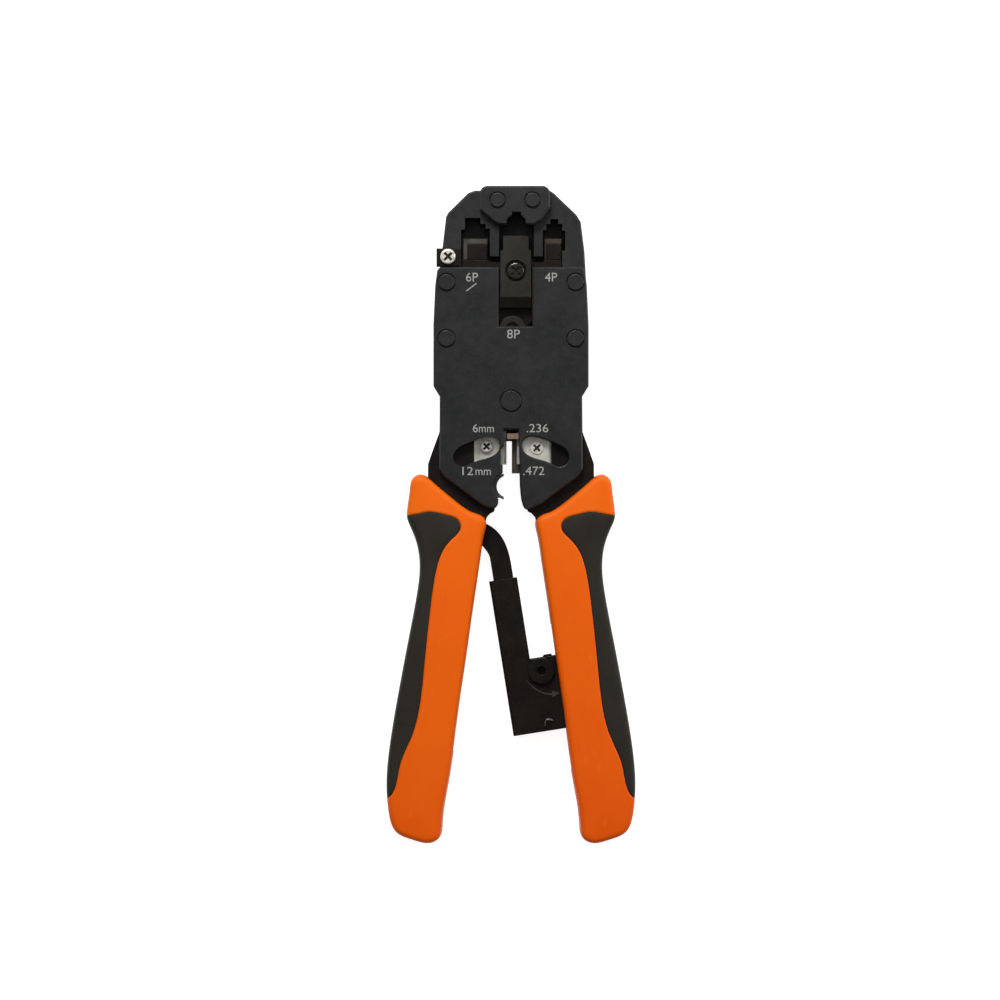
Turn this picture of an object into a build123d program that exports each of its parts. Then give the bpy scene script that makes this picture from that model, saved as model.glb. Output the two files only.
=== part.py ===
from build123d import *
import os
from math import cos, radians, sin

os.makedirs("parts", exist_ok=True)

# The tool lies on its back: X to the right, Y towards the head, Z out of the front plate.
# The origin is the centre of the bottom of the whole tool. All lengths are in millimetres.

# Layers through the thickness
GRIP_THICK = 20.0
BACK_PLATE = (0.4, 3.4)
CORE = (3.4, 16.6)
ARM = (3.8, 16.2)
FRONT_PLATE = (16.6, 19.6)
NEST_PLATE = (16.6, 20.4)
TANG_BACK = (4.0, 6.0)
TANG_FRONT = (14.0, 16.0)
GRIP_SLOT = (4.5, 15.5)

# Pivots
PIVOT_X, PIVOT_Y = 21.1, 57.6
PIN_R = 2.45
RUNNING = 0.05
CENTRE_RIVET = (0.0, 37.2)
UPPER_RIVET_Y = 76.0
RIVET_HEAD_R, CENTRE_HEAD_R = 2.65, 3.3
RIVET_RING, RIVET_RING_DEEP, RIVET_PROUD = 0.45, 0.8, 0.75
RACK_PIN = (-13.4, -3.0)
RACK_PIN_R, RACK_EYE_R = 2.0, 3.6
HOUSING_PIN = (22.0, -62.0)
HOUSING_PIN_R = 1.95

# Return spring
COIL_R, WIRE_R = 4.25, 0.45
SPRING_LOW, SPRING_HIGH = 6.3, 13.65
SPRING_LEG, SPRING_LEG_LEAN = 7.6, 15.0

# Dies
FRAME_TOP, PLATE_TOP = 106.2, 81.0
RAM_TOP = 83.4
NEST_X = 1.55
PUSHER_TOP, PUSHER_Z = 88.9, (14.0, 15.6)
BLOCK_TOP, BLOCK_Z = 90.6, (5.0, 14.0)
STRIP_TOP, STRIP_FACE, STRIP_HALF = 91.1, 19.3, 4.95
CONTACT_PITCH = 1.02
FINGER_END = 84.6
NEST_RIVETS = [(NEST_X - 5.95, 102.8), (NEST_X + 5.45, 102.8)]
NEST_RIVET_R, NEST_RIVET_HEAD_R = 1.6, 2.35
LOCATOR_SCREW = (-20.6, 84.4)
STRIP_SCREW = (NEST_X, 79.7)
ROLLER = (0.5, 60.8)
ROLLER_R, ROLLER_PIN_R = 4.4, 2.0
FORK, NOSE = (5.6, 12.0), (5.8, 11.8)
FORK_FRONT = 13.8
NOTCH = (-4.0, 6.9)

# Blades
LEFT_SCREW = (-8.0, 22.3)
RIGHT_SCREW = (8.5, 21.8)
LEFT_BLADE_Z = (13.7, 14.8)
RIGHT_BLADE_Z = (15.1, 16.1)
ANVIL_X, ANVIL_Y, ANVIL_Z = (0.3, 6.4), (13.5, 24.5), (7.0, 13.4)
ROUND_BLADE_Z = (4.3, 6.6)
STOP_X, STOP_Y, STOP_Z = (-1.25, 3.6), (24.7, 26.5), (16.6, 18.5)
SLOT_END, BACK_SLOT_END = 27.9, 24.2

# Ratchet housing, in its own leaning frame with the origin at its upper left corner
LEAN = 9.0
HOUSING_CORNER = (-7.2, -22.1)
HOUSING_Z = (6.3, 13.7)
HOUSING_SHEET = 1.2
HOUSING_LONG, HOUSING_NARROW, HOUSING_WIDE, HOUSING_STEP = 51.4, 9.3, 18.8, 27.3
KNOB = (12.4, -31.5)
SPRING_ANCHOR = (12.2, -48.6)
RACK_Z = (8.5, 11.5)
RACK_EDGES = (1.5, 8.1)
RACK_END, RACK_BEND = -43.0, 6.9
TEETH, TOOTH_PITCH, FIRST_TOOTH = 9, 1.3, -31.0


def slab(sketch, layer):
    """The sketch raised through a layer (low z, high z)."""
    return extrude(Pos(0, 0, layer[0]) * sketch, layer[1] - layer[0])


def polygon(points):
    return make_face(Polyline(*points, close=True))


def box(x, y, z):
    """A box from (low, high) pairs."""
    centre = [(a + b) / 2 for a, b in (x, y, z)]
    return Pos(*centre) * Box(x[1] - x[0], y[1] - y[0], z[1] - z[0])


def cylinder(centre, r, layer):
    return slab(Pos(*centre) * Circle(r), layer)


def flipped(points):
    """Points of a right-hand outline moved to the left-hand side."""
    return [(-x, y) for x, y in points]


def mirrored(shape):
    return mirror(shape, Plane.YZ)


def housing_point(x, y):
    """A point given in the housing's leaning frame."""
    a = radians(LEAN)
    return (HOUSING_CORNER[0] + x * cos(a) - y * sin(a), HOUSING_CORNER[1] + x * sin(a) + y * cos(a))


def in_housing(shape):
    """A shape drawn in the housing's leaning frame, put in its place."""
    return Location((HOUSING_CORNER[0], HOUSING_CORNER[1], 0), (0, 0, LEAN)) * shape


def top_edges(shape):
    return shape.faces().sort_by(Axis.Z)[-1].edges()


def bottom_edges(shape):
    return shape.faces().sort_by(Axis.Z)[0].edges()


def helix_spring(radius, wire_r, pitch, length):
    """A round-wire coil that starts at z 0 and runs up."""
    path = Helix(pitch, length, radius)
    start = Plane(path @ 0, z_dir=path % 0)
    return sweep(start * Circle(wire_r), path=path)


# ---------------------------------------------------------------- head frame
HEAD_SIDE = [
    (24.0, PLATE_TOP), (24.8, 75.0), (25.4, 62.0), (25.4, 42.0), (23.3, 38.6),
    (23.5, 14.8), (22.0, 12.4), (9.4, 3.1),
]
LEFT_LOBE = [(-7.2, 2.2), (-5.7, 1.9), (-4.8, 2.4), (-4.2, 3.4), (-4.1, 5.0)]
RIGHT_LOBE = [(7.0, 2.2), (6.2, 1.7), (5.3, 1.5), (4.5, 1.9), (3.9, 3.0), (3.35, 5.1), (2.95, 9.2)]
RIGHT_LOBE += [(2.6, 22.0)]
SLOT_LEFT = [(-2.3, 22.4), (-3.4, 21.3), (-3.4, 16.4), (-2.7, 16.3), (-2.7, 13.8), (-3.2, 13.2)]
DIE_RIGHT = [(25.2, 66.0), (24.1, 86.0), (22.9, 95.9), (21.4, 98.3), (14.2, 105.2), (12.8, FRAME_TOP)]
DIE_LEFT = [(-25.2, 66.0), (-23.2, 82.0), (-22.4, 88.0), (-21.3, 97.5), (-20.6, 98.9), (-14.0, 105.4)]
DIE_LEFT += [(-11.8, FRAME_TOP)]


def plate_outline(top, slot_end):
    """The plate's outline with its two lobes, the stripping slot and the round-cable notch."""
    left_wall = Polyline((-2.3, slot_end), *SLOT_LEFT)
    notch = ThreePointArc(SLOT_LEFT[-1], (-5.7, 8.8), LEFT_LOBE[-1])
    left_foot = Polyline(*reversed(LEFT_LOBE), *reversed(flipped(HEAD_SIDE[1:])))
    crown = Polyline(flipped(HEAD_SIDE)[1], *top, HEAD_SIDE[1])
    right_side = Polyline(*HEAD_SIDE[1:], *RIGHT_LOBE, (2.4, slot_end), (-2.3, slot_end))
    return make_face(left_wall + notch + left_foot + crown + right_side)


def plain_top():
    return [flipped(HEAD_SIDE)[0], HEAD_SIDE[0]]


def die_top():
    return [*DIE_LEFT[1:], *reversed(DIE_RIGHT[1:])]


def rivet_places():
    upper = [(side * PIVOT_X, UPPER_RIVET_Y) for side in (-1, 1)]
    lower = [(side * PIVOT_X, PIVOT_Y) for side in (-1, 1)]
    return upper + lower + [CENTRE_RIVET]


def almond(side):
    """The window that shows a blade and its screw."""
    points = [(3.7, 22.3), (4.6, 24.9), (8.5, 25.4), (13.2, 23.8), (18.6, 20.2), (18.9, 18.0)]
    points += [(16.6, 15.8), (12.0, 17.2), (7.4, 18.6), (4.5, 20.3)]
    places = [(side * x, y) for x, y in points]
    return make_face(Spline(*places, periodic=True))


def front_plate():
    plate = slab(plate_outline(plain_top(), SLOT_END), FRONT_PLATE)
    corners = plate.edges().filter_by(Axis.Z).group_by(Axis.Y)[-1]
    plate = fillet(corners, 1.8)
    plate -= box(NOTCH, (61.6, 90.0), FRONT_PLATE)
    plate = chamfer(top_edges(plate), 0.45)
    for side in (-1, 1):
        plate -= slab(almond(side), FRONT_PLATE)
    rims = plate.faces().sort_by(Axis.Z)[-1].inner_wires()
    plate = fillet([edge for rim in rims for edge in rim.edges()], 0.45)
    for centre in rivet_places():
        ring = (CENTRE_HEAD_R if centre == CENTRE_RIVET else RIVET_HEAD_R) + RIVET_RING
        plate -= cylinder(centre, PIN_R, FRONT_PLATE)
        plate -= cylinder(centre, ring, (FRONT_PLATE[1] - RIVET_RING_DEEP, FRONT_PLATE[1]))
    return plate - box(STOP_X, STOP_Y, STOP_Z)


def back_plate():
    plate = slab(plate_outline(die_top(), BACK_SLOT_END), BACK_PLATE)
    plate = chamfer(bottom_edges(plate), 0.4)
    for centre in rivet_places():
        plate -= cylinder(centre, PIN_R, BACK_PLATE)
    for centre in NEST_RIVETS:
        plate -= cylinder(centre, NEST_RIVET_R, BACK_PLATE)
    return plate


def die_frame():
    """The forged crown with the 6P and 4P nests, the fingers and the legs that guide the ram."""
    body = slab(polygon(DIE_LEFT + list(reversed(DIE_RIGHT))), CORE)
    body = chamfer(top_edges(body), 0.5)
    six = [(-16.4, 60.0), (-16.4, 93.4), (-15.1, 93.4), (-15.1, 97.2), (-10.0, 97.2), (-10.0, 95.2)]
    six += [(-8.3, 95.2), (-8.3, 93.7), (-6.9, 93.7), (-6.9, 60.0)]
    eight = [(-3.9, 60.0), (-3.9, 95.6), (-1.4, 95.6), (-1.4, 97.3), (0.3, 97.3), (0.3, 99.0)]
    eight += [(3.3, 99.0), (3.3, 97.3), (4.8, 97.3), (4.8, 95.6), (7.5, 95.6), (7.5, 60.0)]
    four = [(10.4, 60.0), (10.4, 93.2), (11.5, 93.2), (11.5, 95.2), (12.9, 95.2), (12.9, 96.8)]
    four += [(15.5, 96.8), (15.5, 95.2), (16.8, 95.2), (16.8, 93.0), (17.8, 93.0), (17.8, 86.4)]
    four += [(16.8, 86.4), (16.8, 60.0)]
    for nest in (six, eight, four):
        body -= slab(polygon(nest), CORE)
    body -= box((-16.35, 16.75), (60.0, FINGER_END), CORE)
    for finger in ((-7.2, -3.6), (7.2, 10.7)):
        body -= box(finger, (80.0, 86.0), (CORE[0], 10.0))
    for side in (-1, 1):
        body -= cylinder((side * PIVOT_X, UPPER_RIVET_Y), PIN_R, CORE)
    for centre in NEST_RIVETS:
        body -= cylinder(centre, NEST_RIVET_R, CORE)
    return body - cylinder(LOCATOR_SCREW, 1.25, (10.0, CORE[1]))


def nest_plate():
    """The 8P nest, a plate riveted on the front of the crown."""
    notch = [(-1.4, 94.8), (-1.4, 96.5), (-0.8, 97.3), (0.3, 98.0), (0.3, 99.0)]
    notch += [(3.3, 99.0), (3.3, 98.0), (4.1, 97.3), (4.8, 96.5), (4.8, 94.8)]
    outline = [(-3.6, 94.8), (-5.4, 95.6), (-10.2, 99.8), (-10.2, 107.5), (12.8, 107.5)]
    outline += [(12.8, 100.4), (9.9, 96.3), (7.4, 94.8)]
    plate = slab(polygon(outline), NEST_PLATE)
    corners = plate.edges().filter_by(Axis.Z).group_by(Axis.Y)[-1]
    plate = fillet(corners, 2.6)
    plate = chamfer(top_edges(plate), 0.5)
    plate -= slab(polygon(notch), NEST_PLATE)
    for centre in NEST_RIVETS:
        plate -= cylinder(centre, NEST_RIVET_R, NEST_PLATE)
        ring = (NEST_PLATE[1] - RIVET_RING_DEEP, NEST_PLATE[1])
        plate -= cylinder(centre, NEST_RIVET_HEAD_R + RIVET_RING, ring)
    return plate


def rivet(centre, shank_r, head_r, face, proud):
    """A flat-headed rivet through the whole head, whose own head stands in a sunk ring of the face."""
    seat = face - RIVET_RING_DEEP
    head = cylinder(centre, head_r, (seat, face + proud))
    head = fillet(top_edges(head), 0.25)
    return cylinder(centre, shank_r, (BACK_PLATE[0], seat)) + head


def frame_rivets():
    places = [(side * PIVOT_X, UPPER_RIVET_Y) for side in (-1, 1)]
    return [rivet(centre, PIN_R, RIVET_HEAD_R, FRONT_PLATE[1], RIVET_PROUD) for centre in places]


def pivot_rivet(side):
    return rivet((side * PIVOT_X, PIVOT_Y), PIN_R, RIVET_HEAD_R, FRONT_PLATE[1], RIVET_PROUD)


def centre_rivet():
    collar = cylinder(CENTRE_RIVET, 3.6, CORE)
    return rivet(CENTRE_RIVET, PIN_R, CENTRE_HEAD_R, FRONT_PLATE[1], RIVET_PROUD) + collar


def nest_rivets():
    return [rivet(centre, NEST_RIVET_R, NEST_RIVET_HEAD_R, NEST_PLATE[1], 0.8) for centre in NEST_RIVETS]


def screw(centre, head_r, seat, head_high, shank_r, shank_long):
    """A cross-recessed pan-head screw seen from its head."""
    head = Pos(0, 0, head_high / 2) * Cylinder(head_r, head_high)
    head = fillet(top_edges(head), head_high * 0.45)
    arm_long, arm_wide, deep = head_r * 1.36, head_r * 0.34, head_high * 0.7
    for turn in (0, 90):
        arm = Pos(0, 0, head_high) * Box(arm_long, arm_wide, 2 * deep)
        head -= Rot(0, 0, 45 + turn) * arm
    head -= Pos(0, 0, head_high) * Cone(0.1, head_r * 0.4, 2 * deep)
    shank = Pos(0, 0, -shank_long / 2) * Cylinder(shank_r, shank_long)
    return Pos(centre[0], centre[1], seat) * (head + shank)


def locator_bracket():
    block = box((-24.4, -16.5), (PLATE_TOP + 0.1, 87.1), (CORE[1], 18.9))
    block = chamfer(top_edges(block), 0.4)
    return block - cylinder(LOCATOR_SCREW, 1.25, (CORE[1], 18.9))


def locator_screw():
    return screw(LOCATOR_SCREW, 2.5, 18.9, 1.3, 1.25, 8.0)


def cable_stop():
    """The little key, set in the slot's right wall, that stops the end of a cable laid in the slot."""
    return box(STOP_X, STOP_Y, STOP_Z)


def return_spring():
    """A torsion spring round the centre rivet whose two legs push the arms apart."""
    rise = SPRING_HIGH - SPRING_LOW
    coil = helix_spring(COIL_R, WIRE_R, rise / 6.5, rise)
    leg = Pos(0, -SPRING_LEG / 2, 0) * Rot(90, 0, 0) * Cylinder(WIRE_R, SPRING_LEG)
    leg = Pos(COIL_R, 0, 0) * Rot(0, 0, -SPRING_LEG_LEAN) * leg
    left_leg = Pos(0, 0, rise) * mirrored(leg)
    return Pos(CENTRE_RIVET[0], CENTRE_RIVET[1], SPRING_LOW) * (coil + leg + left_leg)


# ---------------------------------------------------------------------- ram
def ram():
    """The slide that carries the three pushers; its fork holds the roller."""
    outline = [(-16.1, RAM_TOP), (-16.1, 66.5), (-7.5, 66.0), (-4.4, 62.0), (-4.4, 58.2), (-2.4, 56.6)]
    outline += [(3.4, 56.6), (5.4, 58.2), (5.4, 62.0), (8.5, 66.0), (16.5, 66.5), (16.5, RAM_TOP)]
    body = slab(polygon(outline), ARM)
    body -= box((-6.0, 7.0), (50.0, 65.6), FORK)
    body -= box((NOTCH[0] - 0.4, NOTCH[1] + 0.4), (50.0, 67.6), (FORK_FRONT, ARM[1]))
    for finger in ((-7.3, -3.5), (7.1, 10.8)):
        body -= box(finger, (FINGER_END - 2.0, 90.0), (9.6, ARM[1]))
    body -= cylinder(ROLLER, ROLLER_PIN_R, ARM)
    return body - cylinder(STRIP_SCREW, 1.45, (9.0, ARM[1]))


def comb(centre_x, count, top, layer):
    """The slots between a pusher's contact blades."""
    slots = []
    for i in range(count + 1):
        x = centre_x + (i - count / 2) * CONTACT_PITCH
        slots.append(box((x - 0.22, x + 0.22), (top - 1.3, top + 1.0), layer))
    return slots


def pusher(x_low, x_high):
    """The front bar that presses on a plug's cable clamp."""
    bar = box((x_low, x_high), (RAM_TOP, PUSHER_TOP), PUSHER_Z)
    return chamfer(top_edges(bar), 0.3)


def contact_block(x_low, x_high, count):
    """The block of blades, behind the pusher, that drives a plug's contacts in."""
    block = box((x_low, x_high), (RAM_TOP, BLOCK_TOP), BLOCK_Z)
    block = chamfer(top_edges(block), 0.4)
    for slot in comb((x_low + x_high) / 2, count, BLOCK_TOP, (4.0, 11.0)):
        block -= slot
    return block


def die_strip():
    """The 8P pusher and its long front strip, screwed on the ram through the plate's notch."""
    front, low, foot, sunk = ARM[1], 8.5, 67.8, 17.3
    profile = [(foot, front), (foot, front + 0.8), (foot + 3.4, STRIP_FACE), (STRIP_TOP, STRIP_FACE)]
    profile += [(STRIP_TOP, low), (RAM_TOP, low), (RAM_TOP, front)]
    face = make_face(Polyline(*[(0, y, z) for y, z in profile], close=True))
    strip = Pos(NEST_X - STRIP_HALF, 0, 0) * extrude(face, 2 * STRIP_HALF, dir=(1, 0, 0))
    for side in (-1, 1):
        edge = NEST_X + side * STRIP_HALF
        strip -= box(sorted((edge - side * 0.8, edge + side)), (86.3, 92.0), (8.0, 20.0))
    strip -= cylinder(STRIP_SCREW, 3.6, (sunk, STRIP_FACE))
    strip -= cylinder(STRIP_SCREW, 1.45, (front, sunk))
    for slot in comb(NEST_X, 7, STRIP_TOP, (8.0, 13.0)):
        strip -= slot
    return strip


def strip_screw():
    return screw(STRIP_SCREW, 2.95, 17.3, 1.7, 1.45, 8.0)


def ram_roller():
    return cylinder(ROLLER, ROLLER_R, NOSE) - cylinder(ROLLER, ROLLER_PIN_R + RUNNING, NOSE)


def roller_pin():
    """The roller's pin, with a ring-shaped head that shows in the notch."""
    pin = cylinder(ROLLER, ROLLER_PIN_R, (ARM[0], FORK_FRONT))
    head = cylinder(ROLLER, ROLLER_R, (FORK_FRONT, 16.5))
    head = chamfer(top_edges(head), 0.3)
    return pin + head - cylinder(ROLLER, 2.3, (15.0, 16.5))


# --------------------------------------------------------------------- arms
ARM_OUTER = [(25.2, 43.0), (23.2, 38.6), (23.3, 27.5), (25.6, 21.2), (27.2, 16.6), (27.3, 8.0)]
ARM_INNER = [(8.4, -2.6), (7.9, -0.9), (6.8, 0.3), (5.6, 0.9), (5.3, 1.8), (5.3, 2.7), (6.9, 4.2)]
ARM_INNER += [(6.9, 13.0), (3.75, 22.0), (3.4, 27.5), (0.4, 54.8)]
ARM_TOP = [(0.4, 56.1), (7.0, 57.4), (13.0, 61.0), (17.5, 61.8)]
TANG_SIDE = [(27.3, 8.0), (30.6, 4.0), (30.4, -3.0), (26.4, -12.0), (26.4, -22.0), (28.4, -36.0)]
TANG_SIDE += [(31.6, -52.0), (34.6, -68.0), (36.4, -82.0), (36.4, -93.0)]
TANG_INNER = [(24.2, -93.0), (20.4, -70.0), (18.6, -58.0), (17.6, -46.0), (14.8, -22.0), (12.6, -12.5)]
TANG_INNER += [(10.4, -8.0), (10.4, 1.0)]


def arm_head(side):
    """The thick forged end between the plates: eye, nose and blade seats."""
    edge = ARM_TOP + [(PIVOT_X, 61.8), (25.1, PIVOT_Y)] + ARM_OUTER + [(20.0, 3.5)] + ARM_INNER
    outline = polygon([(side * x, y) for x, y in edge]) + Pos(side * PIVOT_X, PIVOT_Y) * Circle(4.3)
    head = slab(outline, ARM)
    for layer in ((ARM[0], NOSE[0]), (NOSE[1], ARM[1])):
        head -= box(sorted((0, side * 9.0)), (46.0, 64.0), layer)
    head -= cylinder(CENTRE_RIVET, 7.2, ARM)
    return head - box(sorted((0, side * 5.3)), (22.8, 30.6), (ARM[0], ANVIL_Z[1]))


def tang_outline(side):
    return polygon([(side * x, y) for x, y in TANG_SIDE + TANG_INNER])


def tang(side):
    """Two steel sheets joined along their outer edge, running down inside the grip."""
    outline = tang_outline(side)
    sheets = slab(outline, TANG_BACK) + slab(outline, TANG_FRONT)
    inner = [(side * (x - 2.4), y) for x, y in TANG_SIDE[1:]]
    web = polygon([(side * x, y) for x, y in TANG_SIDE[1:]] + list(reversed(inner)))
    return sheets + slab(web, (TANG_BACK[0], TANG_FRONT[1]))


def arm(side):
    pivot = (side * PIVOT_X, PIVOT_Y)
    return arm_head(side) + tang(side) - cylinder(pivot, PIN_R + RUNNING, ARM)


def left_arm():
    body = arm(-1)
    seat = (LEFT_BLADE_Z[0], ARM[1])
    body -= box((-12.3, 0.0), (16.2, 27.7), seat)
    body -= slab(polygon([(0, 28.0), (-5.9, 28.0), (-7.8, 12.0), (0, 12.0)]), (6.8, LEFT_BLADE_Z[0]))
    body -= cylinder(LEFT_SCREW, 1.2, (8.0, seat[0]))
    body -= box((-10.0, 0.0), (7.5, 10.9), ROUND_BLADE_Z)
    body -= box((-19.0, 0.0), (-6.0, 2.6), (TANG_BACK[1], TANG_FRONT[0]))
    body -= cylinder(RACK_PIN, RACK_PIN_R, (TANG_BACK[0], TANG_FRONT[1]))
    return body


def right_arm():
    body = arm(1)
    body -= box((0.0, 13.4), (16.3, 27.2), (RIGHT_BLADE_Z[0], ARM[1]))
    body -= box((0.0, 6.0), (12.0, 29.0), (ANVIL_Z[1], ARM[1]))
    body -= box((0.0, ANVIL_X[1]), ANVIL_Y, ANVIL_Z)
    body -= cylinder(RIGHT_SCREW, 1.2, (9.0, RIGHT_BLADE_Z[0]))
    body -= cylinder(HOUSING_PIN, HOUSING_PIN_R, (TANG_BACK[0], TANG_FRONT[1]))
    return body


HANDLE = [
    (30.0, 12.9), (32.2, 11.6), (33.0, 8.4), (33.9, 1.2), (33.9, -1.0), (33.0, -3.5), (31.0, -8.4),
    (29.7, -17.0), (30.6, -26.0), (33.4, -41.0), (36.6, -58.0), (39.3, -74.0), (40.6, -87.0),
    (40.1, -97.0), (37.6, -104.0), (32.0, -106.6), (26.2, -107.5), (23.8, -106.2), (22.8, -102.0),
    (20.6, -87.0), (17.8, -67.0), (14.9, -47.0), (12.2, -28.0), (10.0, -13.0), (8.9, -6.5),
    (8.3, -3.6), (8.5, -1.8), (9.7, -0.5), (12.5, 0.6), (15.4, 2.2), (19.3, 5.2), (25.0, 10.0),
    (27.6, 12.1),
]
OVERMOULD = [
    (37.0, -0.4), (31.5, 0.1), (26.5, 0.9), (20.6, -0.2), (17.2, -1.8), (16.4, -4.2), (19.0, -7.8),
    (22.3, -12.0), (24.6, -19.0), (26.4, -31.0), (28.2, -48.0), (29.6, -61.0), (32.2, -72.0),
    (36.4, -82.5), (40.0, -92.6), (43.0, -94.0),
]
GRIP_ROUND = 1.6
SLOT_SPAN = {-1: (-78.0, 0.0), 1: (-84.0, -36.0)}


def handle_outline(side):
    return make_face(Spline(*[(side * x, y) for x, y in HANDLE], periodic=True))


def overmould_region(side):
    """The outer side of the handle that carries the soft black cover."""
    edge = Spline(*[(side * x, y) for x, y in OVERMOULD])
    outside = Polyline(edge @ 1, (side * 52.0, -94.0), (side * 52.0, -0.4), edge @ 0)
    return slab(make_face(edge + outside), (-1.0, GRIP_THICK + 1.0))


def grip_blank(side):
    """Both materials of one grip: a rounded handle, hollow for the tang and slotted inwards."""
    blank = slab(handle_outline(side), (0.0, GRIP_THICK))
    blank = fillet(top_edges(blank) + bottom_edges(blank), GRIP_ROUND)
    blank -= slab(tang_outline(side), (TANG_BACK[0], TANG_FRONT[1]))
    blank -= arm_head(side)
    span = SLOT_SPAN[side]
    return blank - box(sorted((0.0, side * 24.0)), span, GRIP_SLOT)


def grip(side):
    return grip_blank(side) - overmould_region(side)


def grip_overmould(side):
    return grip_blank(side) & overmould_region(side)


# ------------------------------------------------------------------- blades
def left_blade():
    blade = box((-12.1, -1.45), (16.4, 27.5), LEFT_BLADE_Z)
    edge = blade.edges().filter_by(Axis.Y).group_by(Axis.X)[-1].sort_by(Axis.Z)[-1]
    blade = chamfer(edge, 0.8)
    return blade - cylinder(LEFT_SCREW, 1.2, LEFT_BLADE_Z)


def right_blade():
    blade = box((1.9, 13.2), (16.5, 27.0), RIGHT_BLADE_Z)
    edge = blade.edges().filter_by(Axis.Y).group_by(Axis.X)[0].sort_by(Axis.Z)[-1]
    blade = chamfer(edge, 0.7)
    far_edge = blade.edges().filter_by(Axis.Y).group_by(Axis.X)[-1].sort_by(Axis.Z)[-1]
    blade = chamfer(far_edge, 0.6)
    return blade - cylinder(RIGHT_SCREW, 1.2, RIGHT_BLADE_Z)


def stripping_anvil():
    block = box(ANVIL_X, ANVIL_Y, ANVIL_Z)
    return chamfer(block.edges().filter_by(Axis.Y).group_by(Axis.X)[0], 0.35)


def round_cable_blade():
    """A blade with a round mouth that bites a round cable's sheath, on a shank held in the left arm."""
    centre = (-1.1, 9.2)
    outline = Circle(4.5) - Pos(3.75, 0) * Rectangle(10.0, 12.0) + Pos(-4.2, 0) * Rectangle(2.9, 7.6)
    outline += Pos(-6.5, 0) * Rectangle(4.8, 3.4)
    blade = slab(Pos(*centre) * (outline - Circle(3.6)), ROUND_BLADE_Z)
    mouth = blade.edges().filter_by(GeomType.CIRCLE).group_by(Axis.Z)[-1]
    mouth = [edge for edge in mouth if abs(edge.radius - 3.6) < 0.01]
    return chamfer(mouth, 0.4)


def blade_screw(centre, blade_layer, high):
    return screw(centre, 2.1, blade_layer[1], high, 1.2, 4.5)


# ------------------------------------------------------------------ ratchet
def rack():
    """The hooked bar from the left arm into the housing, with ratchet teeth along one edge."""
    entry_right = housing_point(RACK_EDGES[1], 0.0)
    bend_left = housing_point(RACK_EDGES[0], RACK_BEND)
    foot_right = housing_point(RACK_EDGES[1], RACK_END)
    foot_left = housing_point(RACK_EDGES[0] + 0.6, RACK_END)
    low_left = housing_point(RACK_EDGES[0], RACK_END + 2.0)
    down = (sin(radians(LEAN)), -cos(radians(LEAN)))
    up = (-down[0], -down[1])
    crown = [(-13.4, -0.8), (-10.8, -1.9), (-8.0, -3.1), (-4.9, -5.2), (-2.3, -8.6), (-0.8, -12.4)]
    outer = Spline(*crown, entry_right, tangents=((1, -0.2), down))
    straight = Polyline(entry_right, foot_right, foot_left, low_left, bend_left)
    inner = Spline(bend_left, (-7.6, -12.7), (-9.1, -10.7), (-13.6, -6.0), tangents=(up, (-1, 0.8)))
    back = Polyline(inner @ 1, outer @ 0)
    bar = slab(make_face(outer + straight + inner + back), RACK_Z)
    bar = chamfer(top_edges(bar) + bottom_edges(bar), 0.3)
    bar += cylinder(RACK_PIN, RACK_EYE_R, RACK_Z)
    slot = SlotCenterToCenter(0.5, 2 * (RACK_PIN_R + 0.25))
    bar -= slab(Pos(*RACK_PIN) * Rot(0, 0, 90 + LEAN) * slot, RACK_Z)
    edge = RACK_EDGES[1]
    for i in range(TEETH):
        y = FIRST_TOOTH - TOOTH_PITCH * i
        gap = polygon([(edge + 0.1, y), (edge - 1.0, y), (edge + 0.1, y - 0.92 * TOOTH_PITCH)])
        bar -= in_housing(slab(gap, RACK_Z))
    return bar


def ratchet_housing():
    """Folded sheet: two sides joined along the left edge, with a lug for the pivot pin."""
    housing_place = Location((HOUSING_CORNER[0], HOUSING_CORNER[1], 0), (0, 0, LEAN))
    pin = housing_place.inverse() * Pos(*HOUSING_PIN)
    px, py = pin.position.X, pin.position.Y
    outline = [(0, 0), (HOUSING_NARROW, 0), (HOUSING_NARROW, -HOUSING_STEP)]
    outline += [(HOUSING_WIDE, -HOUSING_STEP), (HOUSING_WIDE, -HOUSING_LONG), (0, -HOUSING_LONG)]
    lug_r, lug_root = 3.7, HOUSING_WIDE - 2.4
    lug = Pos(px, py) * Circle(lug_r)
    lug += Pos((px + lug_root) / 2, py) * Rectangle(px - lug_root, 2 * lug_r)
    side = polygon(outline) + lug
    back = (HOUSING_Z[0], HOUSING_Z[0] + HOUSING_SHEET)
    front = (HOUSING_Z[1] - HOUSING_SHEET, HOUSING_Z[1])
    body = slab(side, back) + slab(side, front)
    body += box((0, HOUSING_SHEET), (-HOUSING_LONG, 0), HOUSING_Z)
    folds = body.edges().filter_by(Axis.Y).group_by(Axis.X)[0]
    body = fillet(folds, HOUSING_SHEET - 0.1)
    body -= cylinder((px, py), HOUSING_PIN_R + RUNNING, HOUSING_Z)
    body -= cylinder(KNOB, 2.0 + RUNNING, HOUSING_Z)
    body -= cylinder(SPRING_ANCHOR, 0.7, HOUSING_Z)
    return in_housing(body)


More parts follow.
